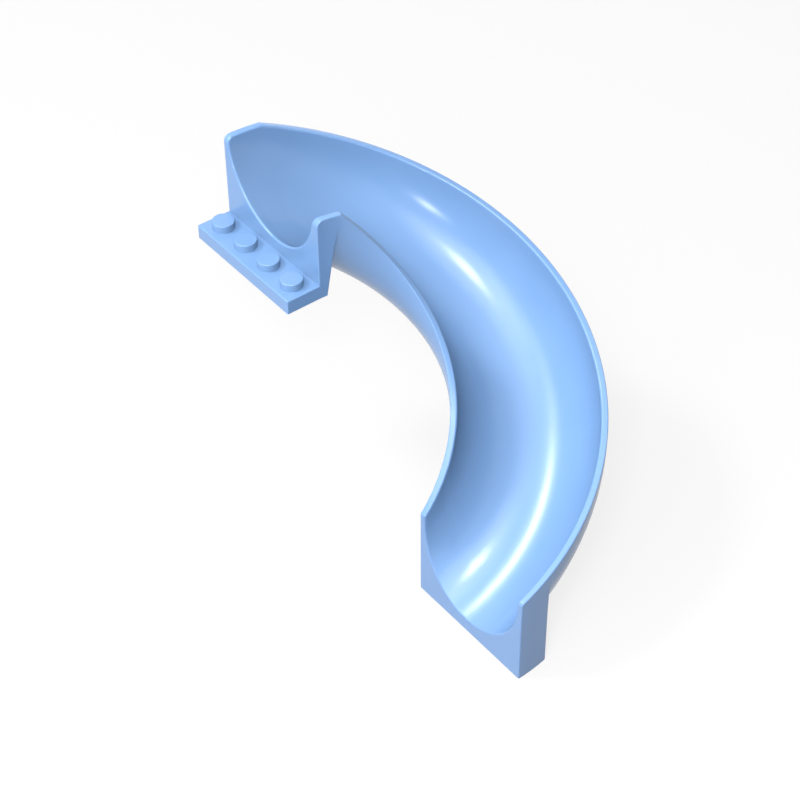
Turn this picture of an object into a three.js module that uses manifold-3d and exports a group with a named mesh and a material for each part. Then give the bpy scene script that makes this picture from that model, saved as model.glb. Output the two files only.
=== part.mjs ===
// Half-turn slide for a stud-and-pin toy building system, a single moulding in
// light blue ABS.
//
// The moulding is laid out round a vertical turn axis. The chute starts at the
// headwall, above a thin tab that carries four studs, goes round half a turn
// while it comes down, and ends in a foot that stands on the floor.
//
// Frame: millimetres, +Z up. The floor is at z = 0. The stud row and the mouth
// of the exit face -Y, the entry is on the -X side and the exit on the +X side.
// The turn axis runs along Z, and the whole part is then moved along Y so that
// the origin lies in the middle of its outline.

import * as THREE from 'three';
import { mergeVertices } from 'three/addons/utils/BufferGeometryUtils.js';
import Module from 'manifold-3d';

// Building system
const STUD_PITCH = 8;
const STUD_COUNT = 4;
const SIDE_PLAY = 0.1; // each outer side stands back from the stud grid
const STUD_DIAMETER = 4.8;
const STUD_HEIGHT = 1.75;
const STUD_EDGE_ROUND = 0.15;
const PIN_DIAMETER = 3.2;

// Tab with the studs
const TAB_UNDERSIDE = 57.6; // six bricks above the floor
const TAB_THICKNESS = 3.2;
const TAB_ROOF = 1.2;
const TAB_ROOT_FILLET = 0.8;

// Chute: a half-round channel, square to its sloping path, with upright sides
const TURN_RADIUS = 32; // axis to the middle of the channel
const CHUTE_WALL = 1.45;
const EXIT_UPRIGHT = 1.8; // of the sides, above the half-round
const ENTRY_UPRIGHT = 2.5; // before the tops are cut level
const RIM_EDGE = 0.25;
const EXIT_FLOOR = 3.3; // above the base of the foot
const ENTRY_FLOOR = 6.3; // above the tab's underside
const ENTRY_OUTER_RISE = 16; // level top above the channel's floor
const ENTRY_TOP_STEP = 3.15; // how much lower the inner one is

// Headwall, which leans back as it goes up
const HEADWALL_BASE_DEPTH = 1.95;
const HEADWALL_LEAN = THREE.MathUtils.degToRad(9.4);
const ENTRY_CORNER_RADIUS = 1.5;

// Foot under the exit, open below, with pins between the studs it sits on
const FOOT_DEPTH = 7.6;
const SKIRT_WALL = 1.5;
const EXIT_CORNER_RADIUS = 1;

// Faceting
const STEP_COUNT = 60;
const SECTION_SEGMENTS = 24;
const ROUND_SEGMENTS = 24;
const CORNER_SEGMENTS = 5;
const SPLIT_COUNT = 3; // lengths in which the chute is named

// Any length that only has to reach past what it cuts
const OVERRUN = 5;

// Worked out from the above
const HALF_GRID = (STUD_COUNT * STUD_PITCH) / 2;
const HALF_WIDTH = HALF_GRID - SIDE_PLAY;
const CHANNEL_RADIUS = HALF_WIDTH - CHUTE_WALL;
const CHUTE_INNER_RADIUS = TURN_RADIUS - HALF_WIDTH;
const CHUTE_OUTER_RADIUS = TURN_RADIUS + HALF_WIDTH;
const TAB_DEPTH = STUD_PITCH - SIDE_PLAY;
const TAB_TOP = TAB_UNDERSIDE + TAB_THICKNESS;
const HALF_TURN = Math.PI;
const STEP = HALF_TURN / STEP_COUNT;
const FLOOR_TOP = TAB_UNDERSIDE + ENTRY_FLOOR;
const FLOOR_SLOPE = (FLOOR_TOP - EXIT_FLOOR) / HALF_TURN; // height per radian
const PATH_TILT = Math.atan(FLOOR_SLOPE / TURN_RADIUS);
const CHANNEL_DEPTH = CHANNEL_RADIUS / Math.cos(PATH_TILT); // measured straight down
const RIM_TOP = FLOOR_TOP + CHANNEL_DEPTH + ENTRY_UPRIGHT;
const RIM_END = EXIT_FLOOR + CHANNEL_DEPTH + EXIT_UPRIGHT;
const RIM_SLOPE = (RIM_TOP - RIM_END) / HALF_TURN;
const ENTRY_OUTER_TOP = FLOOR_TOP + ENTRY_OUTER_RISE;
const ENTRY_INNER_TOP = ENTRY_OUTER_TOP - ENTRY_TOP_STEP;
const TOP_REACH = RIM_TOP + OVERRUN;
const END_REACH = CHUTE_OUTER_RADIUS + OVERRUN;

const wasm = await Module();
wasm.setup();

// Solids

function toManifold(geometry) {
  const bare = geometry.index ? geometry.toNonIndexed() : geometry.clone();
  bare.deleteAttribute('normal');
  bare.deleteAttribute('uv');
  const merged = mergeVertices(bare);
  return new wasm.Manifold(
    new wasm.Mesh({
      numProp: 3,
      vertProperties: new Float32Array(merged.attributes.position.array),
      triVerts: new Uint32Array(merged.index.array),
    }),
  );
}

function toGeometry(manifold) {
  const mesh = manifold.getMesh();
  const geometry = new THREE.BufferGeometry();
  const positions = new THREE.BufferAttribute(new Float32Array(mesh.vertProperties), mesh.numProp);
  geometry.setAttribute('position', positions);
  geometry.setIndex(new THREE.BufferAttribute(new Uint32Array(mesh.triVerts), 1));
  geometry.computeVertexNormals();
  return geometry;
}

// Upright block between two corners
function block(low, high) {
  const size = new THREE.Vector3().subVectors(high, low);
  const middle = new THREE.Vector3().addVectors(low, high).divideScalar(2);
  const geometry = new THREE.BoxGeometry(size.x, size.y, size.z);
  geometry.translate(middle.x, middle.y, middle.z);
  return toManifold(geometry);
}

// Outline drawn in the Y-Z plane, drawn out along X
function barAlongX(outline, fromX, toX) {
  const shape = new THREE.Shape(outline);
  const geometry = new THREE.ExtrudeGeometry(shape, { depth: toX - fromX, bevelEnabled: false });
  const turn = new THREE.Matrix4().makeBasis(
    new THREE.Vector3(0, 1, 0),
    new THREE.Vector3(0, 0, 1),
    new THREE.Vector3(1, 0, 0),
  );
  geometry.applyMatrix4(turn);
  geometry.translate(fromX, 0, 0);
  return toManifold(geometry);
}

// Round post standing on z = 0
function post(diameter, height) {
  const geometry = new THREE.CylinderGeometry(diameter / 2, diameter / 2, height, ROUND_SEGMENTS);
  geometry.rotateX(Math.PI / 2);
  geometry.translate(0, 0, height / 2);
  return geometry;
}

// A section is a closed list of (radius, height) points, anticlockwise when seen
// with the turn axis on its left. It is carried round the axis from one step of
// the half turn to another, and both ends are closed flat. What only cuts can
// run straight on past both ends.
function sweep(sectionAt, fromStep, toStep, runOn = 0) {
  const rings = [];
  for (let step = fromStep; step <= toStep; step++) {
    const angle = step * STEP;
    rings.push(sectionAt(angle).map((point) => onTurn(point.x, angle, point.y)));
  }
  if (runOn > 0) {
    const before = new THREE.Vector3(0, -runOn, 0);
    const carriedOn = (ring) => ring.map((point) => point.clone().add(before));
    rings.unshift(carriedOn(rings[0]));
    rings.push(carriedOn(rings[rings.length - 1]));
  }
  const count = rings[0].length;
  const positions = rings.flat().flatMap((point) => [point.x, point.y, point.z]);
  const faces = [];
  for (let ring = 0; ring + 1 < rings.length; ring++) {
    for (let i = 0; i < count; i++) {
      const next = (i + 1) % count;
      const here = ring * count;
      const there = here + count;
      faces.push(here + i, here + next, there + next);
      faces.push(here + i, there + next, there + i);
    }
  }
  const last = (rings.length - 1) * count;
  for (const [a, b, c] of THREE.ShapeUtils.triangulateShape(sectionAt(fromStep * STEP), [])) {
    faces.push(a, c, b);
  }
  for (const [a, b, c] of THREE.ShapeUtils.triangulateShape(sectionAt(toStep * STEP), [])) {
    faces.push(last + a, last + b, last + c);
  }
  const geometry = new THREE.BufferGeometry();
  geometry.setAttribute('position', new THREE.Float32BufferAttribute(positions, 3));
  geometry.setIndex(faces);
  return toManifold(geometry);
}

// The entry is at angle 0, on the -X side, and the exit at half a turn
function onTurn(radius, angle, height) {
  return new THREE.Vector3(-radius * Math.cos(angle), radius * Math.sin(angle), height);
}

// Heights along the chute

function rimHeight(angle) {
  return RIM_END + RIM_SLOPE * (HALF_TURN - angle);
}

function floorHeight(angle) {
  return EXIT_FLOOR + FLOOR_SLOPE * (HALF_TURN - angle);
}

// Sections of the chute

// Half-round of the channel from its inner side to its outer side, set outwards
// by a wall. The round is true when looked at along the path. A point low on it
// lies back along the path from the middle line, so an upright section through
// the turn axis finds it further round, where the path is lower.
function trough(angle, wall = 0) {
  const middleHeight = floorHeight(angle) + CHANNEL_DEPTH;
  const points = [];
  for (let i = 0; i <= SECTION_SEGMENTS; i++) {
    const turn = (Math.PI * i) / SECTION_SEGMENTS;
    const out = TURN_RADIUS - (CHANNEL_RADIUS + wall) * Math.cos(turn);
    const down = (CHANNEL_RADIUS + wall) * Math.sin(turn);
    const back = down * Math.sin(PATH_TILT);
    const sunk = FLOOR_SLOPE * Math.atan2(back, out);
    points.push(new THREE.Vector2(
      Math.hypot(out, back),
      middleHeight - down * Math.cos(PATH_TILT) - sunk,
    ));
  }
  return points;
}

// The space in the chute, with both edges of the rims broken, and all above it
function channelSection(angle) {
  const edge = rimHeight(angle) - RIM_EDGE;
  const half = CHANNEL_RADIUS + RIM_EDGE;
  return [
    ...trough(angle),
    new THREE.Vector2(TURN_RADIUS + CHANNEL_RADIUS, edge),
    new THREE.Vector2(TURN_RADIUS + half, rimHeight(angle)),
    new THREE.Vector2(TURN_RADIUS + half, TOP_REACH),
    new THREE.Vector2(TURN_RADIUS - half, TOP_REACH),
    new THREE.Vector2(TURN_RADIUS - half, rimHeight(angle)),
    new THREE.Vector2(TURN_RADIUS - CHANNEL_RADIUS, edge),
  ];
}

function outsideSection(angle) {
  return [
    ...trough(angle, CHUTE_WALL),
    new THREE.Vector2(CHUTE_OUTER_RADIUS, TOP_REACH),
    new THREE.Vector2(CHUTE_INNER_RADIUS, TOP_REACH),
  ];
}

// Flat rim with both edges broken, from its outer edge to its inner one
function rim(fromRadius, toRadius, height) {
  const inward = Math.sign(toRadius - fromRadius) * RIM_EDGE;
  return [
    new THREE.Vector2(fromRadius, height - RIM_EDGE),
    new THREE.Vector2(fromRadius + inward, height),
    new THREE.Vector2(toRadius - inward, height),
    new THREE.Vector2(toRadius, height - RIM_EDGE),
  ];
}

function shellSection(angle) {
  const top = rimHeight(angle);
  return [
    ...trough(angle, CHUTE_WALL),
    ...rim(CHUTE_OUTER_RADIUS, CHUTE_OUTER_RADIUS - CHUTE_WALL, top),
    ...trough(angle).reverse(),
    ...rim(CHUTE_INNER_RADIUS + CHUTE_WALL, CHUTE_INNER_RADIUS, top),
  ];
}

// The chute filled in from its rims straight down to a flat base
function filledSection(base) {
  return (angle) => [
    new THREE.Vector2(CHUTE_INNER_RADIUS, base),
    new THREE.Vector2(CHUTE_OUTER_RADIUS, base),
    ...rim(CHUTE_OUTER_RADIUS, CHUTE_INNER_RADIUS, rimHeight(angle)),
  ];
}

// What lies inside upright skirt walls
function skirtSection() {
  return [
    new THREE.Vector2(CHUTE_INNER_RADIUS + SKIRT_WALL, -OVERRUN),
    new THREE.Vector2(CHUTE_OUTER_RADIUS - SKIRT_WALL, -OVERRUN),
    new THREE.Vector2(CHUTE_OUTER_RADIUS - SKIRT_WALL, TOP_REACH),
    new THREE.Vector2(CHUTE_INNER_RADIUS + SKIRT_WALL, TOP_REACH),
  ];
}

// What rounds off the corner between the front plane and a top that rises
// behind it at the given angle
function cornerCut(topHeight, rise, radius, fromX, toX) {
  const inside = (Math.PI / 2 + rise) / 2;
  const setback = radius / Math.tan(inside);
  const centre = new THREE.Vector2(radius, topHeight - setback);
  const outline = [];
  for (let i = 0; i <= CORNER_SEGMENTS; i++) {
    const turn = Math.PI - ((Math.PI / 2 - rise) * i) / CORNER_SEGMENTS;
    outline.push(new THREE.Vector2(
      centre.x + radius * Math.cos(turn),
      centre.y + radius * Math.sin(turn),
    ));
  }
  const reach = outline[CORNER_SEGMENTS].clone();
  outline.push(new THREE.Vector2(reach.x, reach.y + OVERRUN));
  outline.push(new THREE.Vector2(-OVERRUN, reach.y + OVERRUN));
  outline.push(new THREE.Vector2(-OVERRUN, centre.y));
  return barAlongX(outline.reverse(), fromX, toX);
}

// Space that the entry and the exit leave open

const channel = sweep(channelSection, 0, STEP_COUNT, OVERRUN);
const outside = sweep(outsideSection, 0, STEP_COUNT, OVERRUN);

const levelReach = STUD_PITCH + OVERRUN;

// Level tops of the entry's two sides, with their front corners
const entryTops = [
  block(
    new THREE.Vector3(-END_REACH, -OVERRUN, ENTRY_OUTER_TOP),
    new THREE.Vector3(-TURN_RADIUS, levelReach, TOP_REACH),
  ),
  block(
    new THREE.Vector3(-TURN_RADIUS, -OVERRUN, ENTRY_INNER_TOP),
    new THREE.Vector3(0, levelReach, TOP_REACH),
  ),
  cornerCut(ENTRY_OUTER_TOP, 0, ENTRY_CORNER_RADIUS, -END_REACH, -TURN_RADIUS),
  cornerCut(ENTRY_INNER_TOP, 0, ENTRY_CORNER_RADIUS, -TURN_RADIUS, 0),
];

// Front corners of the exit's rims, which climb at their own slopes
const innerRise = Math.atan(RIM_SLOPE / CHUTE_INNER_RADIUS);
const outerRise = Math.atan(RIM_SLOPE / CHUTE_OUTER_RADIUS);
const exitCorners = [
  cornerCut(RIM_END, innerRise, EXIT_CORNER_RADIUS, 0, TURN_RADIUS),
  cornerCut(RIM_END, outerRise, EXIT_CORNER_RADIUS, TURN_RADIUS, END_REACH),
];

function cutAll(solid, cuts) {
  return cuts.reduce((left, cut) => left.subtract(cut), solid);
}

// Headwall: a wall across the entry whose back leans away as it goes up. It
// carries the first short length of the chute.

// Everything in front of the headwall's back, which also parts it from the chute
function headwallOutline() {
  const lean = Math.tan(HEADWALL_LEAN);
  const low = TAB_UNDERSIDE - OVERRUN;
  const backAt = (height) => HEADWALL_BASE_DEPTH + (height - TAB_UNDERSIDE) * lean;
  return [
    new THREE.Vector2(-OVERRUN, low),
    new THREE.Vector2(backAt(low), low),
    new THREE.Vector2(backAt(TOP_REACH), TOP_REACH),
    new THREE.Vector2(-OVERRUN, TOP_REACH),
  ];
}

const chuteLengths = [];
for (let i = 0; i < SPLIT_COUNT; i++) {
  const from = (STEP_COUNT * i) / SPLIT_COUNT;
  const to = (STEP_COUNT * (i + 1)) / SPLIT_COUNT;
  chuteLengths.push(sweep(shellSection, from, to));
}

const headwallZone = barAlongX(headwallOutline(), -END_REACH, 0);
const headwall = cutAll(
  sweep(filledSection(TAB_UNDERSIDE), 0, STEP_COUNT / SPLIT_COUNT),
  [channel, ...entryTops],
).intersect(headwallZone);

// Foot: stands on the floor under the exit and carries the last length of the
// chute. It is open below, so the chute's underside is its roof.

const footZone = block(
  new THREE.Vector3(0, -OVERRUN, -OVERRUN),
  new THREE.Vector3(END_REACH, FOOT_DEPTH, TOP_REACH),
);
const footInside = block(
  new THREE.Vector3(0, SKIRT_WALL, -OVERRUN),
  new THREE.Vector3(END_REACH, FOOT_DEPTH - SKIRT_WALL, TOP_REACH),
);
const footStart = (STEP_COUNT * (SPLIT_COUNT - 1)) / SPLIT_COUNT;
const footHollow = sweep(skirtSection, footStart, STEP_COUNT).intersect(footInside);
let footBody = sweep(filledSection(0), footStart, STEP_COUNT)
  .intersect(footZone)
  .subtract(footHollow.subtract(outside));
for (let i = 1; i < STUD_COUNT; i++) {
  const pin = post(PIN_DIAMETER, EXIT_FLOOR + CHANNEL_DEPTH);
  pin.translate(TURN_RADIUS - HALF_GRID + i * STUD_PITCH, STUD_PITCH / 2, 0);
  footBody = footBody.add(toManifold(pin));
}
const exitFoot = cutAll(footBody, [channel, ...exitCorners]);

// Tab: a thin plate with a soft fillet against the headwall, hollow below

function tabOutline() {
  const outline = [
    new THREE.Vector2(-TAB_DEPTH, TAB_UNDERSIDE),
    new THREE.Vector2(0, TAB_UNDERSIDE),
  ];
  for (let i = 0; i <= CORNER_SEGMENTS; i++) {
    const turn = (Math.PI / 2) * (i / CORNER_SEGMENTS);
    outline.push(new THREE.Vector2(
      -TAB_ROOT_FILLET * (1 - Math.cos(turn)),
      TAB_TOP + TAB_ROOT_FILLET * (1 - Math.sin(turn)),
    ));
  }
  outline.push(new THREE.Vector2(-TAB_DEPTH, TAB_TOP));
  return outline;
}

const tabHollow = block(
  new THREE.Vector3(-CHUTE_OUTER_RADIUS + SKIRT_WALL, -TAB_DEPTH + SKIRT_WALL, -OVERRUN),
  new THREE.Vector3(-CHUTE_INNER_RADIUS - SKIRT_WALL, -SKIRT_WALL, TAB_TOP - TAB_ROOF),
);
const tab = barAlongX(tabOutline(), -CHUTE_OUTER_RADIUS, -CHUTE_INNER_RADIUS).subtract(tabHollow);

// Stud: a plain round button with its top edge broken
function studGeometry() {
  const radius = STUD_DIAMETER / 2;
  const geometry = new THREE.LatheGeometry(
    [
      new THREE.Vector2(0, 0),
      new THREE.Vector2(radius, 0),
      new THREE.Vector2(radius, STUD_HEIGHT - STUD_EDGE_ROUND),
      new THREE.Vector2(radius - STUD_EDGE_ROUND, STUD_HEIGHT),
      new THREE.Vector2(0, STUD_HEIGHT),
    ],
    ROUND_SEGMENTS,
  );
  geometry.rotateX(Math.PI / 2);
  return toGeometry(toManifold(geometry));
}

// Assembly

const slide = new THREE.Group();
slide.name = 'curved_slide';

function addPiece(parent, name, geometry) {
  const abs = new THREE.MeshStandardMaterial({ color: 0x8fbeff, roughness: 0.25, metalness: 0 });
  const mesh = new THREE.Mesh(geometry, abs);
  mesh.name = name;
  parent.add(mesh);
  return mesh;
}

const chuteNames = ['upper_chute', 'middle_chute', 'lower_chute'];
const chuteSolids = [...chuteLengths];
chuteSolids[0] = cutAll(chuteSolids[0].subtract(headwallZone), entryTops);
chuteSolids[SPLIT_COUNT - 1] = chuteSolids[SPLIT_COUNT - 1].subtract(footZone);

addPiece(slide, 'entry_tab', toGeometry(tab));
addPiece(slide, 'entry_headwall', toGeometry(headwall));
chuteSolids.forEach((solid, i) => addPiece(slide, chuteNames[i], toGeometry(solid)));
addPiece(slide, 'exit_foot', toGeometry(exitFoot));

// Studs stand on the tab in a row, and the pins hang below between them
const studRow = new THREE.Group();
studRow.position.set(-TURN_RADIUS - HALF_GRID, -STUD_PITCH / 2, TAB_TOP);
slide.add(studRow);
for (let i = 0; i < STUD_COUNT; i++) {
  const stud = addPiece(studRow, `stud_${i + 1}`, studGeometry());
  stud.position.x = (i + 1 / 2) * STUD_PITCH;
}

const pinRow = new THREE.Group();
pinRow.position.set(-TURN_RADIUS - HALF_GRID, -STUD_PITCH / 2, TAB_UNDERSIDE);
slide.add(pinRow);
for (let i = 1; i < STUD_COUNT; i++) {
  const pin = addPiece(pinRow, `tab_pin_${i}`, post(PIN_DIAMETER, TAB_THICKNESS - TAB_ROOF));
  pin.position.x = i * STUD_PITCH;
}

// The outline reaches from the tab's front edge to the back of the turn
slide.position.y = -(CHUTE_OUTER_RADIUS - TAB_DEPTH) / 2;

export default slide;
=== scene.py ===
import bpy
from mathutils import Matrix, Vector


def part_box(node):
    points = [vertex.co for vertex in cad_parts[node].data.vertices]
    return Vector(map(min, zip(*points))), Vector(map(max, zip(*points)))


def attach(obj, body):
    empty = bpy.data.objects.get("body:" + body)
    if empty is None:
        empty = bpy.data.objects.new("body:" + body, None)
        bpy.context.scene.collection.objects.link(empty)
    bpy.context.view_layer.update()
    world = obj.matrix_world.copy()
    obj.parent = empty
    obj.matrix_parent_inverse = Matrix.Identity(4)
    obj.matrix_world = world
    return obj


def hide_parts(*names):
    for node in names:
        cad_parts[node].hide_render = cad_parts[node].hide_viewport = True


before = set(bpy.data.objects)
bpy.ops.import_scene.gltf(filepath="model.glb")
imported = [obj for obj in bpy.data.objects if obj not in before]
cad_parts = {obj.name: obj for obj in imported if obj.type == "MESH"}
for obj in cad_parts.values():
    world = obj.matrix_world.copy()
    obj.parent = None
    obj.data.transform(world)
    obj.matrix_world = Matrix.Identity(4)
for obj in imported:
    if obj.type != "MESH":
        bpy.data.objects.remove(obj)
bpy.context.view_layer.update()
print("solids:", len(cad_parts))

# %% [markdown]
# ## Sizes
# The part sits on a grid of studs 8 mm apart, and each side stands back 0.1 mm
# from the grid, so that neighbours don't jam. The planes that meet other parts
# are read from the measured solids. The rest follows from them and from a few
# sizes, so that a change in one place moves all that depends on it.
# %% Tools and sizes
import math

import bmesh
import bpy
from mathutils import Matrix, Vector

MM = 0.001

STUD_PITCH = 8 * MM
STUD_COUNT = 4
SIDE_PLAY = 0.1 * MM
TURN_RADIUS = 32 * MM
WALL = 1.45 * MM
EAR_STEP = 3.15 * MM      # how much lower the inner ear is than the outer one
CREASE_PLAY = 0.005 * MM  # keeps the rounded crease below the solids' top

tab_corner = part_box("entry_tab")[0]
stud_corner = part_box("stud_1")[0]
foot_low, foot_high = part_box("exit_foot")
head_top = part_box("entry_headwall")[1]

TAB_UNDERSIDE = tab_corner[2]
TAB_TOP = stud_corner[2]
TAB_FRONT = tab_corner[1]
FRONT = foot_low[1]  # the plane of the headwall's front and of the exit's mouth
FOOT_DEPTH = foot_high[1] - FRONT
OUTER_EAR = head_top[2] - CREASE_PLAY
INNER_EAR = OUTER_EAR - EAR_STEP

HALF_WIDTH = STUD_COUNT * STUD_PITCH / 2 - SIDE_PLAY
CHANNEL_RADIUS = HALF_WIDTH - WALL
INNER = TURN_RADIUS - HALF_WIDTH
OUTER = TURN_RADIUS + HALF_WIDTH
print("front plane at", round(FRONT / MM, 2), "mm, outer ear", round(OUTER_EAR / MM, 2), "mm")

# %% [markdown]
# ## The path of the chute
# The floor and the rims are plain helices about one upright axis. The channel is
# a true half-round when it is looked at along the sloping path. An upright cut
# through the axis therefore isn't a half circle: a low point lies back along the
# path, so the cut finds it further round, where the path has come down more.
# That leans the section towards the axis, and it gives the two U-shaped mouths
# their slightly lopsided look. Slopes here are a drop for each radian of turn.
# %% Heights and sections along the path
HALF_TURN = math.pi
FLOOR_LIFT = 6.3 * MM      # the floor's start, over the tab's underside
FLOOR_END = 3.3 * MM
RIM_LIFT_START = 2.5 * MM  # the rim's start, over the middle line
RIM_LIFT_END = 1.8 * MM    # and its end

FLOOR_START = TAB_UNDERSIDE + FLOOR_LIFT
FLOOR_SLOPE = (FLOOR_START - FLOOR_END) / HALF_TURN
TILT = math.atan(FLOOR_SLOPE / TURN_RADIUS)
DEPTH = CHANNEL_RADIUS / math.cos(TILT)
RIM_START = FLOOR_START + DEPTH + RIM_LIFT_START
RIM_END = FLOOR_END + DEPTH + RIM_LIFT_END
RIM_SLOPE = (RIM_START - RIM_END) / HALF_TURN


def middle_height(angle):
    """Height of the line that the half-round's centre follows."""
    return FLOOR_END + DEPTH + FLOOR_SLOPE * (HALF_TURN - angle)


def rim_height(angle):
    return RIM_END + RIM_SLOPE * (HALF_TURN - angle)


def half_round(turn, reach):
    """Radius from the axis, and height from the middle line, of one point."""
    out = TURN_RADIUS - reach * math.cos(turn)
    down = reach * math.sin(turn)
    back = down * math.sin(TILT)
    return math.hypot(out, back), -down * math.cos(TILT) - FLOOR_SLOPE * math.atan2(back, out)


def on_turn(radius, angle, height):
    return Vector((-radius * math.cos(angle), FRONT + radius * math.sin(angle), height))


print("path slope", round(math.degrees(TILT), 1), "degrees, drop",
      round((FLOOR_START - FLOOR_END) / MM, 1), "mm")

# %% [markdown]
# ## Stations along the chute
# The skin is a lattice. Its rows run across the chute and its columns run along
# it. Each row lies in a station. A station is an upright plane parallel to the
# front near the headwall and the foot, because those are cut that way, and a ray
# from the axis in between. The headwall's back plane leans. In the blends the
# angle goes evenly from one kind to the other. Rows then fall exactly on every
# edge that has to be crisp.
# %% Kinds of station
LEAN = math.tan(math.radians(9.4))
HEADWALL_THICK = 1.95 * MM  # at the tab's underside, and more above it
EAR_CORNER = 1.5 * MM
MOUTH_CORNER = 1 * MM


def even_steps(first, last, cells):
    return [first + (last - first) * k / cells for k in range(cells + 1)]


def headwall_back(height):
    return HEADWALL_THICK + (height - TAB_UNDERSIDE) * LEAN


def entry_plane(depth_at):
    return lambda radius, height: math.asin(min(depth_at(height) / radius, 1))


def exit_plane(depth):
    return lambda radius, height: HALF_TURN - math.asin(min(depth / radius, 1))


def ray(angle):
    return lambda radius, height: angle


def crease(radius, height):
    """The straight crease across the top, where each level ear meets its rim."""
    share = (radius - INNER - WALL) / (OUTER - INNER - 2 * WALL)
    share = min(max(share, 0), 1)
    inner_turn = HALF_TURN - (INNER_EAR - RIM_END) / RIM_SLOPE
    outer_turn = HALF_TURN - (OUTER_EAR - RIM_END) / RIM_SLOPE
    return inner_turn * (1 - share) + outer_turn * share


def blend(first, second, share):
    return lambda radius, height: (
        first(radius, height) * (1 - share) + second(radius, height) * share)


def spread(first, second, count):
    """Stations in between two others, without those two."""
    return [blend(first, second, share) for share in even_steps(0, 1, count + 1)[1:-1]]


print("headwall at the tab's top:", round(headwall_back(TAB_TOP) / MM, 2), "mm thick")

# %% Put the stations in order
FIRST_RAY = math.radians(32)
LAST_RAY = math.radians(144)
RAY_CELLS = 44
ENTRY_BLENDS = 9
EXIT_BLENDS = 8
FOOT_SHARES = (0.72, 0.46, 0.22)  # places inside the foot, as shares of its depth

rear_plane = exit_plane(FOOT_DEPTH)

stations = [entry_plane(lambda height: 0.0)]
stations.append(entry_plane(lambda height: EAR_CORNER))
stations.append(entry_plane(lambda height: (EAR_CORNER + headwall_back(height)) / 2))
stations.append(entry_plane(headwall_back))
headwall_end = len(stations) - 1
stations.append(crease)
stations += spread(crease, ray(FIRST_RAY), ENTRY_BLENDS)
stations += [ray(angle) for angle in even_steps(FIRST_RAY, LAST_RAY, RAY_CELLS)]
stations += spread(ray(LAST_RAY), rear_plane, EXIT_BLENDS)
stations.append(rear_plane)
foot_start = len(stations) - 1
stations += [exit_plane(FOOT_DEPTH * share) for share in FOOT_SHARES]
stations.append(exit_plane(0))
last_station = len(stations) - 1
print("stations:", len(stations))

# %% [markdown]
# ## Where the sides end
# Both sides follow the rim helix. At the entry they are cut level, and their
# front corners are rounded. At the exit the corner between the mouth and the
# climbing rim is rounded too. The top of the channel's side could be solved on
# paper, but the corners would each need a formula of their own. So a stretch of
# the section is halved again and again, until the place with that height is left.
# %% Tops of the two sides
SIDES = (True, False)  # True is the inner side and False the outer side
SETTLING = 8           # rounds until an angle no longer changes
HALVINGS = 40          # halvings until a place is exact
# where each side's top can lie along the channel's section
TOP_SPAN = {True: (-0.5, 1.5), False: (math.pi - 1.5, math.pi + 0.5)}


def wall_radius(inner_side):
    return INNER if inner_side else OUTER


def ear_level(inner_side):
    return INNER_EAR if inner_side else OUTER_EAR


def top_height(angle, level):
    return min(rim_height(angle), level)


def solve_angle(station, radius, height_at):
    """Angle where a station meets a line whose height depends on the angle."""
    angle = station(radius, TAB_TOP)
    for _ in range(SETTLING):
        angle = station(radius, height_at(angle))
    return angle


def halve(low, high, is_before):
    """The place between low and high where is_before stops being true."""
    for _ in range(HALVINGS):
        place = (low + high) / 2
        if is_before(place):
            low = place
        else:
            high = place
    return (low + high) / 2


def channel_spot(along, angle):
    """Radius and height on the channel; along runs from 0 to pi round the floor."""
    if along < 0:
        return TURN_RADIUS - CHANNEL_RADIUS, middle_height(angle) - along * CHANNEL_RADIUS
    if along > math.pi:
        return (TURN_RADIUS + CHANNEL_RADIUS,
                middle_height(angle) + (along - math.pi) * CHANNEL_RADIUS)
    radius, height = half_round(along, CHANNEL_RADIUS)
    return radius, middle_height(angle) + height


def channel_point(station, along):
    """Radius, angle and height where the channel crosses a station."""
    radius = channel_spot(along, 0)[0]
    angle = solve_angle(station, radius, lambda turn: channel_spot(along, turn)[1])
    return radius, angle, channel_spot(along, angle)[1]


def find_top(station, inner_side, drop):
    """How far along its section the channel reaches the side's top."""
    def is_before(along):
        _, angle, height = channel_point(station, along)
        return (height > top_height(angle, ear_level(inner_side)) - drop) == inner_side

    return halve(*TOP_SPAN[inner_side], is_before)


print("inner side starts at", round(top_height(0, INNER_EAR) / MM, 2), "mm and ends at",
      round(top_height(HALF_TURN, INNER_EAR) / MM, 2), "mm")

# %% [markdown]
# ## The lattice
# The whole moulding is one closed skin, so that light runs over it with no seam.
# A profile swept along a curve would be quicker, but its rims couldn't have a
# slope of their own, and its ends wouldn't be flat. So each point is worked out.
# A row of the lattice is a ring. It goes across the channel, over one side,
# round the outside and back over the other side. The outside is upright from the
# rim down to the middle line, and then follows the half-round one wall thickness
# below the channel. In the headwall and the foot it goes straight down to a
# flat base instead.
# %% Cells of the lattice, and points round a corner
UPPER = 2     # cells down each outer side, from the top to the middle line
DOWN = 13     # cells from there to a flat base
ALONG = 14    # cells along a flat base
UNDER = DOWN + ALONG + DOWN     # cells round the half-round underside
ACROSS = UPPER + UNDER + UPPER  # cells across the channel
CORNER = 5    # cells round a corner


def corner_arc(radius, slope):
    """Depth and lift of points round a corner, from the front up to the top."""
    centre = radius * slope - radius * math.hypot(1, slope)
    turns = even_steps(math.pi, math.pi / 2 + math.atan(slope), CORNER)
    return [(radius + radius * math.cos(turn), centre + radius * math.sin(turn))
            for turn in turns]


def arc_of(inner_side, number):
    if number == 0:
        return corner_arc(EAR_CORNER, 0)
    return corner_arc(MOUTH_CORNER, RIM_SLOPE / wall_radius(inner_side))


def drop_of(inner_side, number):
    """How far a corner takes the top down at the two end stations."""
    return -arc_of(inner_side, number)[0][1] if number in (0, last_station) else 0


print("corner takes the ear down by", round(drop_of(True, 0) / MM, 2), "mm")

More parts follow.
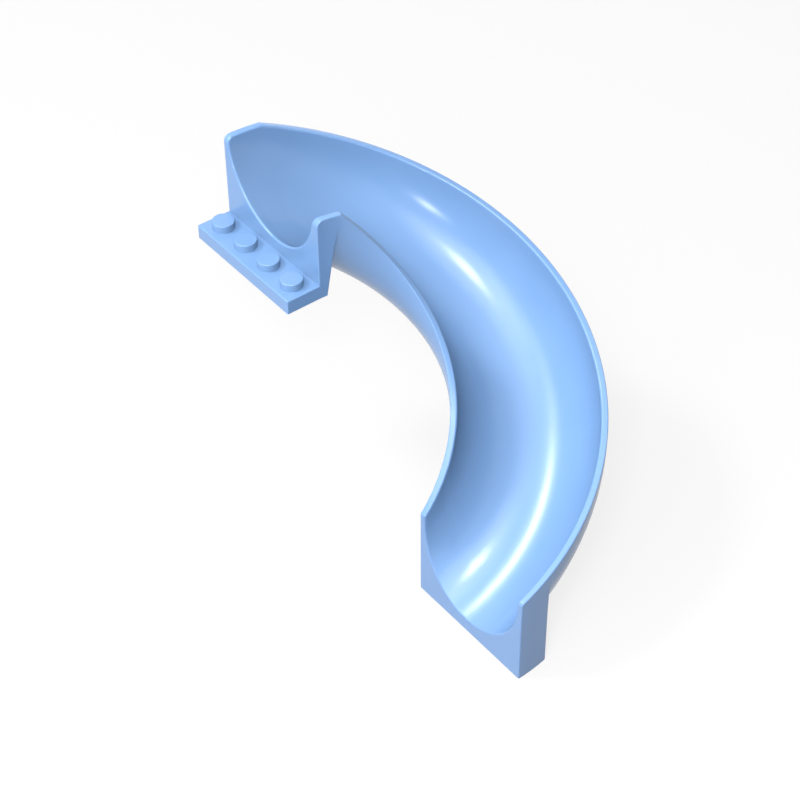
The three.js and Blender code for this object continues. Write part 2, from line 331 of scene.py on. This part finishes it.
# %% Heights down the outer sides
EDGE_START = 3.5 * MM   # how far below the middle line the upright back edges start
LEAST_UPPER = 1.2 * MM  # the first upright part goes down at least this far


def filled(number):
    """True in the headwall and the foot, where the outside has a flat base."""
    return number <= headwall_end or number >= foot_start


def base_of(number):
    return TAB_UNDERSIDE if number <= headwall_end else 0.0


def side_heights(number, station, inner_side):
    """Heights down an outer side: to the middle line, and on to a flat base."""
    radius, level = wall_radius(inner_side), ear_level(inner_side)
    angle = solve_angle(station, radius, lambda turn: top_height(turn, level))
    top = top_height(angle, level) - drop_of(inner_side, number)
    middle = middle_height(solve_angle(station, radius, middle_height))
    seam = min(middle, top - LEAST_UPPER)
    start = seam - EDGE_START
    if number <= headwall_end:
        # one row of points lies level with the tab's top
        down = [*even_steps(start, TAB_TOP, DOWN - 2), base_of(number)]
    else:
        down = even_steps(start, base_of(number), DOWN - 1)
    return even_steps(top, seam, UPPER), down


print("heights at the exit, mm:",
      [round(height / MM, 1) for height in side_heights(last_station, stations[-1], True)[0]])

# %% Points underneath
skin = bmesh.new()


def vertex(radius, angle, height):
    return skin.verts.new(on_turn(radius, angle, height))


def under_point(station, turn):
    """Radius, angle and height on the half-round underside of the chute."""
    radius, height = half_round(turn, HALF_WIDTH)
    angle = solve_angle(station, radius, lambda place: middle_height(place) + height)
    return radius, angle, middle_height(angle) + height


def half_round_line(station, first, last):
    """Points under the chute, between the ends of the two upright sides."""
    line = [vertex(*under_point(station, turn)) for turn in even_steps(0, math.pi, UNDER)[1:-1]]
    return [first, *line, last]


def flat_line(station, first, last, height):
    """Points between two corners of a flat base."""
    line = [vertex(radius, station(radius, height), height)
            for radius in even_steps(INNER, OUTER, ALONG)[1:-1]]
    return [first, *line, last]


print("lowest point under the exit, mm:",
      round(min(under_point(stations[-1], turn)[2] for turn in even_steps(0, math.pi, 8)) / MM, 1))

# %% Place the points of every row
channel, uppers, boxed, rounded_under = [], [], {}, {}
for number, station in enumerate(stations):
    first, last = [find_top(station, side, drop_of(side, number)) for side in SIDES]
    channel.append([vertex(*channel_point(station, along))
                    for along in even_steps(first, last, ACROSS)])
    columns = {}
    for side in SIDES:
        radius = wall_radius(side)
        upper, down = side_heights(number, station, side)
        heights = upper + down if filled(number) else upper
        columns[side] = [vertex(radius, station(radius, height), height) for height in heights]
    uppers.append({side: columns[side][:UPPER + 1] for side in SIDES})
    inner_column, outer_column = columns[True], columns[False]
    if filled(number):
        base = flat_line(station, inner_column[-1], outer_column[-1], base_of(number))
        boxed[number] = [*inner_column[UPPER:-1], *base, *outer_column[UPPER:-1][::-1]]
    if headwall_end <= number <= foot_start:
        rounded_under[number] = half_round_line(
            station, inner_column[UPPER], outer_column[UPPER])
print("points placed:", len(skin.verts))


# %% [markdown]
# ## Corners at the two fronts
# The ears and the exit's rim end in small rounded corners, as moulded walls do. A
# bevel of such a size would run into the thin wall's own edge radii, so each
# corner gets its own points, the same in number on both faces of the wall.
# %% Corner points at the two fronts
def corner_points(inner_side, number):
    """Points round one corner, on the channel's side and on the outer side."""
    radius = wall_radius(inner_side)
    start = ear_level(inner_side) if number == 0 else RIM_END
    arc = arc_of(inner_side, number)[1:]
    if number == 0:
        arc.pop()  # this one is the top of the second station
    channel_side, outer_side = [], []
    for depth, lift in arc:
        station = entry_plane(lambda height: depth) if number == 0 else exit_plane(depth)
        height = start + lift
        outer_side.append(vertex(radius, station(radius, height), height))
        along = halve(*TOP_SPAN[inner_side],
                      lambda place: (channel_point(station, place)[2] > height) == inner_side)
        spot = channel_point(station, along)
        channel_side.append(vertex(spot[0], spot[1], height))
    return channel_side, outer_side


corners = {(side, number): corner_points(side, number)
           for side in SIDES for number in (0, last_station)}
print("corner points:", sum(len(line) for pair in corners.values() for line in pair))


# %% [markdown]
# ## Faces
# A strip of four-sided faces joins each row to the next. Even rows of four-sided
# faces shade smoothly, where long triangles would leave streaks in the gloss. A
# few faces with more sides take up the extra points round the corners.
# %% Close the skin with faces
def face(points):
    return skin.faces.new(list(dict.fromkeys(points)))


def strip(here, there):
    """Faces between two lines of points. The longer one may have a few more."""
    cells = max(len(here), len(there)) - 1
    pairs = [[line[round(k * (len(line) - 1) / cells)] for line in (here, there)]
             for k in range(cells + 1)]
    for (a, b), (c, d) in zip(pairs, pairs[1:]):
        face([a, c, d, b])


for number in range(last_station):
    here, there = channel[number], channel[number + 1]
    strip(here[1:-1], there[1:-1])
    for side in SIDES:
        edge, inside = (0, 1) if side else (-1, -2)
        on_channel, on_outside = corners.get((side, number), ([], []))
        if number + 1 == last_station:
            on_channel, on_outside = [line[::-1] for line in corners[side, last_station]]
        top_channel = [here[edge], *on_channel, there[edge]]
        column, next_column = uppers[number][side], uppers[number + 1][side]
        top_outside = [column[0], *on_outside, next_column[0]]
        face([here[inside], *top_channel, there[inside]])
        face([column[1], *top_outside, next_column[1]])
        strip(top_channel, top_outside)
        strip(column[1:], next_column[1:])
    if headwall_end <= number < foot_start:
        strip(rounded_under[number], rounded_under[number + 1])
    else:
        strip(boxed[number], boxed[number + 1])
for number in (headwall_end, foot_start):
    strip(rounded_under[number], boxed[number])

inner_end, outer_end = uppers[-1][True], uppers[-1][False]
strip(channel[-1], [*inner_end[:-1], *boxed[last_station], *outer_end[:-1][::-1]])
print("faces before the headwall's front:", len(skin.faces))


# %% [markdown]
# ## The tab
# The tab is a thin plate that grows out of the headwall's front, and carries the
# studs. It could be a box of its own, pushed into the headwall, but then a seam
# would show where the two meet. So it starts from the headwall's own points, and
# its sides and its base run on from the headwall's. The headwall's front stops at
# the tab's top.
# %% Headwall's front and tab
def measure(work):
    open_edges = sum(len(edge.link_faces) != 2 for edge in work.edges)
    return (f"faces {len(work.faces)}, open edges {open_edges}, "
            f"volume {round(work.calc_volume() / MM ** 3)} mm3")


outline = boxed[0]
inner_end, outer_end = uppers[0][True], uppers[0][False]
root = flat_line(stations[0], outline[DOWN - 1], outline[-DOWN], TAB_TOP)
strip(channel[0], [*inner_end[:-1], *outline[:DOWN - 1], *root,
                   *outline[-DOWN + 1:], *outer_end[:-1][::-1]])

to_front = Vector((0, TAB_FRONT - FRONT, 0))
to_underside = Vector((0, 0, TAB_UNDERSIDE - TAB_TOP))
tab_top = [skin.verts.new(point.co + to_front) for point in root]
tab_base = [skin.verts.new(point.co + to_underside) for point in tab_top]
headwall_base = outline[DOWN:-DOWN]
strip(root, tab_top)
strip(tab_top, tab_base)
strip(tab_base, headwall_base)
for end in (0, -1):
    face([root[end], tab_top[end], tab_base[end], headwall_base[end]])

bmesh.ops.recalc_face_normals(skin, faces=skin.faces)
print("skin:", measure(skin))

# %% [markdown]
# ## Rounded edges
# A mould for parts like this has tiny radii along its edges, and they catch the
# light as fine bright lines. The channel's edge has the largest, near 0.4 mm. A
# bevel modifier could round every edge alike. Here each edge's weight gives it a
# radius of its own. The strip that a radius takes up depends on how sharp the
# edge is, so the weight is worked out from the edge's angle.
# %% Round the edges of the skin
EDGE_CHANNEL = 0.43 * MM
EDGE_OUTSIDE = 0.25 * MM
STRIP = 0.75 * MM  # the strip taken up by an edge of weight 1
BACK_EASE = 3      # cells over which a back edge's radius starts from nothing

weights = skin.edges.layers.float.new("bevel_weight_edge")


def round_line(points, radius, ease=0):
    """Rounds the edges along a line of points; ease cells at its start get less."""
    for k, (a, b) in enumerate(zip(points, points[1:])):
        edge = skin.edges.get((a, b))
        blunt = abs(edge.calc_face_angle(0))
        share = min((k + 1) / (ease + 1), 1)
        edge[weights] = min(share * radius * math.tan(blunt / 2) / STRIP, 1)
    return len(points) - 1


done = 0
for side in SIDES:
    edge = 0 if side else -1
    tops_channel = [row[edge] for row in channel]
    tops_outside = [pair[side][0] for pair in uppers]
    for part, tops, radius in ((0, tops_channel, EDGE_CHANNEL), (1, tops_outside, EDGE_OUTSIDE)):
        at_entry = corners[side, 0][part]
        at_exit = corners[side, last_station][part][::-1]
        done += round_line([tops[0], *at_entry, *tops[1:-1], *at_exit, tops[-1]], radius)
    order = slice(None) if side else slice(None, None, -1)
    down_entry, down_exit = boxed[0][order], boxed[last_station][order]
    done += round_line([*uppers[0][side], *down_entry[1:DOWN]], EDGE_OUTSIDE)
    done += round_line([*uppers[-1][side], *down_exit[1:DOWN + 1]], EDGE_OUTSIDE)
    for number in (headwall_end, foot_start):
        done += round_line(boxed[number][order][1:DOWN + 1], EDGE_OUTSIDE, BACK_EASE)
    done += round_line([root[edge], tab_top[edge], tab_base[edge]], EDGE_OUTSIDE)
for number in (0, -1):
    done += round_line(channel[number], EDGE_CHANNEL)
done += round_line(tab_top, EDGE_OUTSIDE)
print("edges rounded:", done)


# %% [markdown]
# ## From lattice to object
# The lattice becomes an object of the scene, and a bevel modifier reads the
# weights. Its overlap clamp is off, because that would narrow every strip to what
# fits at the tightest place. Its loop slide is off too, because that leaves a
# sliver at the exit's corners.
# %% Make the shell
def add_object(name, data):
    obj = bpy.data.objects.new(name, data)
    bpy.context.collection.objects.link(obj)
    return obj


def mesh_object(name, work):
    """Turn points and faces into an object of the scene."""
    data = bpy.data.meshes.new(name)
    work.to_mesh(data)
    work.free()
    return add_object(name, data)


shell = mesh_object("slide_moulding", skin)
rounding = shell.modifiers.new("edge radii", "BEVEL")
rounding.limit_method = "WEIGHT"
rounding.width = STRIP
rounding.segments = 4
rounding.use_clamp_overlap = False
rounding.loop_slide = False
print("shell before rounding:", len(shell.data.polygons), "faces")


# %% [markdown]
# ## Cutting the hollows
# The hollows could be woven into the lattice, but the pins in them would break
# its even rows. So each hollow is a simple closed solid, and a boolean cuts it
# out of the shell. A round solid is turned from a profile, as on a lathe.
# %% Solids that cut
def closed_mesh(name, rings):
    """Rings of points, joined one to the next, with both ends filled."""
    work = bmesh.new()
    made = [[work.verts.new(point) for point in ring] for ring in rings]
    for here, there in zip(made, made[1:]):
        for k in range(len(here)):
            after = (k + 1) % len(here)
            work.faces.new([here[k], here[after], there[after], there[k]])
    work.faces.new(made[0])
    work.faces.new(made[-1])
    bmesh.ops.recalc_face_normals(work, faces=work.faces)
    return mesh_object(name, work)


def turned(name, profile, centre, sides):
    """A solid turned about an upright line, from (radius, height) points."""
    turns = even_steps(0, 2 * math.pi, sides)[:-1]
    return closed_mesh(name, [
        [Vector((centre.x + radius * math.cos(turn), centre.y + radius * math.sin(turn), height))
         for turn in turns]
        for radius, height in profile
    ])


def cut_away(obj, tool):
    cut = obj.modifiers.new("cut", "BOOLEAN")
    cut.operation = "DIFFERENCE"
    cut.solver = "MANIFOLD"
    cut.object = tool


def settle(obj, *spent):
    """Make the modifiers' result the object's own mesh, and drop the tools used."""
    graph = bpy.context.evaluated_depsgraph_get()
    result = bpy.data.meshes.new_from_object(obj.evaluated_get(graph))
    obj.modifiers.clear()
    obj.data = result
    for tool in spent:
        bpy.data.objects.remove(tool)


# %% [markdown]
# ## Underside of the foot
# The foot is open below. Its walls are 1.5 mm, like those of a brick, and three
# round pins stand between the places of the four studs it presses down on. Its
# roof is the chute's own half-round underside, so the hollow's section has that
# curve on top and goes down past the base.
# %% Shape of the foot's hollow
SKIRT = 1.5 * MM
CUT_PAST = 2 * MM         # how far a cutting solid goes past the base
ROOF_CELLS = 8            # from the foot's rear wall to its front wall
ROOF_STEPS = 28           # round the roof
ROOF_SHARES = (0.1, 0.9)  # of the half-round; the walls cut it shorter still

inner_wall, outer_wall = INNER + SKIRT, OUTER - SKIRT


def roof_end(station, wall, low, high):
    """Where the half-round meets an upright wall of the hollow."""
    turn = halve(low, high, lambda place: (
        (half_round(place, HALF_WIDTH)[0] < wall) == (wall == inner_wall)))
    _, angle, height = under_point(station, turn)
    return wall, angle, height


hollow_rings = []
for depth in even_steps(FOOT_DEPTH - SKIRT, SKIRT, ROOF_CELLS):
    station = exit_plane(depth)
    roof = [under_point(station, math.pi * share)
            for share in even_steps(*ROOF_SHARES, ROOF_STEPS)]
    section = [
        roof_end(station, inner_wall, 0.0, math.pi / 2),
        *[spot for spot in roof if inner_wall < spot[0] < outer_wall],
        roof_end(station, outer_wall, math.pi, math.pi / 2),
        *[(wall, station(wall, 0), -CUT_PAST) for wall in (outer_wall, inner_wall)],
    ]
    hollow_rings.append([on_turn(*spot) for spot in section])
print("points in each section:", sorted({len(ring) for ring in hollow_rings}))

# %% Hollow out the foot
PIN_RADIUS = 1.6 * MM
PIN_CHAMFER = 0.2 * MM
PIN_SIDES = 48
POST_REACH = 20 * MM  # well above the hollow's roof, so each pin runs up to it

foot_hollow = closed_mesh("foot_hollow", hollow_rings)
posts = []
for k in range(1, STUD_COUNT):
    place = Vector((TURN_RADIUS + (k - STUD_COUNT / 2) * STUD_PITCH, FRONT + STUD_PITCH / 2, 0))
    profile = [(PIN_RADIUS - PIN_CHAMFER, 0), (PIN_RADIUS, PIN_CHAMFER), (PIN_RADIUS, POST_REACH)]
    posts.append(turned(f"post_{k}", profile, place, PIN_SIDES))
    cut_away(foot_hollow, posts[-1])
settle(foot_hollow, *posts)
cut_away(shell, foot_hollow)
settle(shell, foot_hollow)

work = bmesh.new()
work.from_mesh(shell.data)
print("shell:", measure(work))
work.free()


# %% [markdown]
# ## Underside of the tab
# The tab is open below too, with walls of the same 1.5 mm and a thin roof. No
# curve bounds its hollow, so a plain box cuts it out. The tab lies on the left of
# the axis, where x is below zero.
# %% Hollow out the tab
TAB_ROOF = 1.2 * MM


def upright_box(name, low, high):
    ring = [(low[0], low[1]), (high[0], low[1]), (high[0], high[1]), (low[0], high[1])]
    return closed_mesh(name, [[Vector((x, y, z)) for x, y in ring] for z in (low[2], high[2])])


tab_hollow = upright_box(
    "tab_hollow",
    (-outer_wall, TAB_FRONT + SKIRT, TAB_UNDERSIDE - CUT_PAST),
    (-inner_wall, FRONT - SKIRT, TAB_TOP - TAB_ROOF),
)
cut_away(shell, tab_hollow)
settle(shell, tab_hollow)
print("shell with both hollows:", len(shell.data.polygons), "faces")

# %% [markdown]
# ## Studs and pins
# Each stud is a plain button 4.8 mm across, on an 8 mm grid. Its top edge has a
# radius small enough for a crisp ring of light. The pins below are 3.2 mm across.
# They sit between the studs, where the edge of another brick's stud grips them.
# All are pieces of their own, turned like the posts, and they run a little into
# the plate, so that no gap can show.
# %% Turn the studs and the pins
STUD_RADIUS = 2.4 * MM
STUD_SIDES = 64
STUD_EDGE = 0.2 * MM
EDGE_STEPS = 5
SUNK = 0.3 * MM  # how far a stud or a pin runs into the plate

buttons = []
for k in range(1, STUD_COUNT + 1):
    low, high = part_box(f"stud_{k}")
    rounded = [(STUD_RADIUS - STUD_EDGE + STUD_EDGE * math.cos(turn),
                high.z - STUD_EDGE + STUD_EDGE * math.sin(turn))
               for turn in even_steps(0, math.pi / 2, EDGE_STEPS)]
    profile = [(STUD_RADIUS, low.z - SUNK), *rounded]
    stud = turned(f"stud_button_{k}", profile, (low + high) / 2, STUD_SIDES)
    buttons.append((stud, f"stud_{k}"))
for k in range(1, STUD_COUNT):
    low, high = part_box(f"tab_pin_{k}")
    profile = [(PIN_RADIUS - PIN_CHAMFER, low.z), (PIN_RADIUS, low.z + PIN_CHAMFER),
               (PIN_RADIUS, high.z + SUNK)]
    pin = turned(f"grip_pin_{k}", profile, (low + high) / 2, PIN_SIDES)
    buttons.append((pin, f"tab_pin_{k}"))
print("studs and pins:", len(buttons))


# %% [markdown]
# ## The plastic and its surface
# The part is injection-moulded ABS, coloured all through, from a polished mould.
# Light blue pigment with much white makes it opaque. The surface is glossy but
# not a mirror: the mould's polish leaves faint waves, which soften the edge of
# each highlight. Handling dulls it a little in patches. A picture could hold all
# that, but noise worked out from real sizes stays sharp at any distance.
# %% Colours and nodes
def linear(code):
    """A colour written as in a paint program, in the values that light uses."""
    parts = [int(code[k:k + 2], 16) / 255 for k in (1, 3, 5)]
    return [c / 12.92 if c <= 0.04045 else ((c + 0.055) / 1.055) ** 2.4 for c in parts] + [1]


def node(tree, kind, settings, **links):
    """Adds a node, gives it its settings, and links named inputs to outputs."""
    made = tree.nodes.new(kind)
    for name, value in settings.items():
        if name in made.inputs:
            made.inputs[name].default_value = value
        else:
            setattr(made, name, value)
    for name, source in links.items():
        tree.links.new(source, made.inputs[name.replace("_", " ")])
    return made


def emptied(owner):
    """Node tree of a material or a world, without the nodes it comes with."""
    owner.use_nodes = True
    owner.node_tree.nodes.clear()
    return owner.node_tree


print("middle grey in light's own values:", round(linear("#808080")[0], 3))

# %% Moulded ABS
DEEP_TINT = "#88B5F0"
PALE_TINT = "#8BB8F3"
CLOUD = 11.8 * MM         # width of a cloud of pigment
PATCH = 5 * MM            # width of a patch of duller polish
WAVE = 0.625 * MM         # length of a wave in the mould's surface
WAVE_HEIGHT = 0.002 * MM  # the bump's strength brings it well under 1 micron
IOR_ABS = 1.54            # ABS bends light as most plastics do


def moulded_abs():
    """Noise scales count cells to the metre, so they are one over a real size."""
    finish = bpy.data.materials.new("moulded ABS, light blue")
    tree = emptied(finish)
    place = node(tree, "ShaderNodeTexCoord", {}).outputs["Object"]
    # pigment that isn't spread quite evenly
    cloud = node(tree, "ShaderNodeTexNoise",
                 {"Scale": round(1 / CLOUD), "Detail": 3, "Roughness": 0.5}, Vector=place)
    tint = node(tree, "ShaderNodeValToRGB", {}, Fac=cloud.outputs["Fac"])
    deep, pale = tint.color_ramp.elements
    deep.position = 0.3
    deep.color = linear(DEEP_TINT)
    pale.position = 0.7
    pale.color = linear(PALE_TINT)
    # patches that reflect a little less sharply
    patch = node(tree, "ShaderNodeTexNoise",
                 {"Scale": round(1 / PATCH), "Detail": 4, "Roughness": 0.55}, Vector=place)
    polish = node(tree, "ShaderNodeMapRange", {"To Min": 0.19, "To Max": 0.25},
                  Value=patch.outputs["Fac"])
    # the mould's own faint waves
    wave = node(tree, "ShaderNodeTexNoise",
                {"Scale": round(1 / WAVE), "Detail": 2, "Roughness": 0.5}, Vector=place)
    relief = node(tree, "ShaderNodeBump", {"Strength": 0.25, "Distance": WAVE_HEIGHT},
                  Height=wave.outputs["Fac"])
    gloss = node(
        tree, "ShaderNodeBsdfPrincipled", {"IOR": IOR_ABS},
        Base_Color=tint.outputs["Color"], Roughness=polish.outputs["Result"],
        Normal=relief.outputs["Normal"])
    node(tree, "ShaderNodeOutputMaterial", {}, Surface=gloss.outputs["BSDF"])
    return finish


abs_finish = moulded_abs()
print("nodes in the finish:", len(abs_finish.node_tree.nodes))

# %% [markdown]
# ## Dressing the pieces
# Every piece gets the finish and smooth shading that stays crisp at real corners,
# and the solids it stands for are hidden. In the photo the shade is the
# plastic's plain colour, only darker, as if no light bounced from one side of the
# channel to the other. So the pieces are hidden from matt bounced light. With it,
# the shaded inner wall turns a strong blue.
# %% Dress the pieces
CRISP_ANGLE = math.radians(38)


def dress(obj, *nodes):
    """Finish, smooth shading with crisp corners; the solids it stands for are hidden."""
    obj.data.materials.clear()
    obj.data.materials.append(abs_finish)
    obj.data.shade_smooth()
    obj.data.set_sharp_from_angle(angle=CRISP_ANGLE)
    even = obj.modifiers.new("even shading", "WEIGHTED_NORMAL")
    even.keep_sharp = True
    obj.visible_diffuse = False
    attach(obj, "root")
    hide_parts(*nodes)


dress(shell, "entry_headwall", "entry_tab",
      "upper_chute", "middle_chute", "lower_chute", "exit_foot")
for button, name in buttons:
    dress(button, name)
print("pieces dressed:", 1 + len(buttons))

# %% [markdown]
# ## Camera
# The photograph was taken from above, along the line between the entry and the
# exit's front. A camera could be moved by eye until the picture fits. This one
# was solved instead: the part's known sizes, seen in the photo, give the place,
# the two directions and the lens.
# %% Camera
CAMERA_PLACE = Vector((241.511, -198.165, 317.652)) * MM
CAMERA_RIGHT = Vector((0.6152, 0.78833, -0.00781))
CAMERA_AHEAD = Vector((-0.5834, 0.44857, -0.67707))

camera_data = bpy.data.cameras.new("camera")
camera_data.sensor_width = 36
camera_data.lens = 91.334
camera_data.clip_start = 0.01
camera_data.clip_end = 10
camera = add_object("camera", camera_data)

# the three directions have to be square to each other
ahead = CAMERA_AHEAD.normalized()
up = CAMERA_RIGHT.normalized().cross(ahead).normalized()
right = ahead.cross(up)
camera.matrix_world = (
    Matrix.Translation(CAMERA_PLACE)
    @ Matrix((right, up, -ahead)).transposed().to_4x4()
)
bpy.context.scene.camera = camera
print("camera looks down", round(math.degrees(math.asin(-ahead.z)), 1), "degrees")

# %% [markdown]
# ## Lamps
# Two small soft boxes in front of the part make the bright streaks along the
# channel, and a wide, dim one round the left one makes its streak fade out.
# Large soft boxes at the right, in front and above give the even light, and one
# behind lights the far side. The photo's short highlight on the upper channel
# comes from low on the right, where the part's own wall is in the way. The low
# lamp makes only that highlight: it throws no shadow and adds no matt light.
# %% Lamps
MIDDLE = Vector((0, 0, 40 * MM))


def lamp(name, turn, height, distance, size, power):
    """A square soft box that faces the part's middle.

    Degrees for turn, which goes from the back (+Y) towards the right (+X), and
    for height. Metres for distance and size, and watts for power.
    """
    data = bpy.data.lights.new(name, "AREA")
    data.shape = "SQUARE"
    data.size = size
    data.energy = power
    obj = add_object(name, data)
    turn, height = math.radians(turn), math.radians(height)
    level = math.cos(height)
    toward = Vector((math.sin(turn) * level, math.cos(turn) * level, math.sin(height)))
    obj.location = MIDDLE + toward * distance
    obj.rotation_euler = toward.to_track_quat("Z", "Y").to_euler()
    return obj


lamp("soft box, left", turn=-143, height=53.5, distance=1.0, size=0.16, power=2.4)
lamp("glow round the left soft box", turn=-143, height=53.5, distance=1.1, size=0.5, power=1.8)
lamp("soft box, right", turn=136, height=46.5, distance=0.37, size=0.06, power=0.38)
lamp("large soft box, right", turn=138, height=45, distance=1.0, size=0.8, power=4.9)
lamp("large soft box, front", turn=180, height=30, distance=1.2, size=0.9, power=5.1)
lamp("large soft box, above", turn=0, height=89.9, distance=1.2, size=1.0, power=2.5)
lamp("soft box, back", turn=-42, height=14, distance=1.2, size=0.8, power=2.0)
low_lamp = lamp("low lamp, right", turn=141, height=1, distance=1.0, size=0.06, power=1.3)
low_lamp.visible_diffuse = False
low_lamp.data.use_shadow = False
print("lamps:", len(bpy.data.lights))

# %% [markdown]
# ## Room and table
# The photo is plain white all round. A room bright enough for that would wash out
# the part's shades. So the room and the table are white for the camera and in
# reflections, and dim for the matt light that falls on the part. The table mixes
# a matt white, which takes the shadow, with a glow of its own.
# %% White for the eye, dim for the light
WHITE = linear("#FFFFFF")
ROOM_LIGHT = 0.03


def by_look(tree, for_light, for_eye, kind):
    """One thing for the light that falls on the part, another for what is seen."""
    path = node(tree, "ShaderNodeLightPath", {})
    seen = path.outputs["Is Camera Ray"]
    for name in ("Is Glossy Ray", "Is Transmission Ray"):
        either = node(tree, "ShaderNodeMath", {"operation": "MAXIMUM"})
        tree.links.new(seen, either.inputs[0])
        tree.links.new(path.outputs[name], either.inputs[1])
        seen = either.outputs[0]
    mixed = node(tree, "ShaderNodeMixShader", {}, Fac=seen)
    tree.links.new(for_light, mixed.inputs[1])
    tree.links.new(for_eye, mixed.inputs[2])
    node(tree, kind, {}, Surface=mixed.outputs[0])


scene = bpy.context.scene
scene.view_settings.view_transform = "Standard"
room = bpy.data.worlds.new("white room")
scene.world = room
tree = emptied(room)
background = node(tree, "ShaderNodeBackground", {"Color": WHITE, "Strength": 1})
fill = node(tree, "ShaderNodeBackground", {"Color": WHITE, "Strength": ROOM_LIGHT})
by_look(tree, fill.outputs[0], background.outputs[0], "ShaderNodeOutputWorld")
print("world:", scene.world.name)

# %% Table
TABLE_REACH = 3.0
TABLE_GAP = 0.05 * MM  # keeps the table just below the foot's base
TABLE_GLOW = 0.75      # share of the table's white that is a glow, and takes no shadow
TABLE_DIM = "#6E7276"  # the table's colour for the light that it sends to the part

table_work = bmesh.new()
square = ((-1, -1), (1, -1), (1, 1), (-1, 1))
table_work.faces.new([table_work.verts.new((x * TABLE_REACH, y * TABLE_REACH, -TABLE_GAP))
                      for x, y in square])
floor = mesh_object("floor", table_work)

white = bpy.data.materials.new("white table")
tree = emptied(white)
matt = node(tree, "ShaderNodeBsdfDiffuse", {"Color": WHITE})
glow = node(tree, "ShaderNodeEmission", {"Color": WHITE, "Strength": 1})
table = node(tree, "ShaderNodeMixShader", {"Fac": TABLE_GLOW})
tree.links.new(matt.outputs[0], table.inputs[1])
tree.links.new(glow.outputs[0], table.inputs[2])
dim = node(tree, "ShaderNodeBsdfDiffuse", {"Color": linear(TABLE_DIM)})
by_look(tree, dim.outputs[0], table.outputs[0], "ShaderNodeOutputMaterial")
floor.data.materials.append(white)
print("table nodes:", len(tree.nodes))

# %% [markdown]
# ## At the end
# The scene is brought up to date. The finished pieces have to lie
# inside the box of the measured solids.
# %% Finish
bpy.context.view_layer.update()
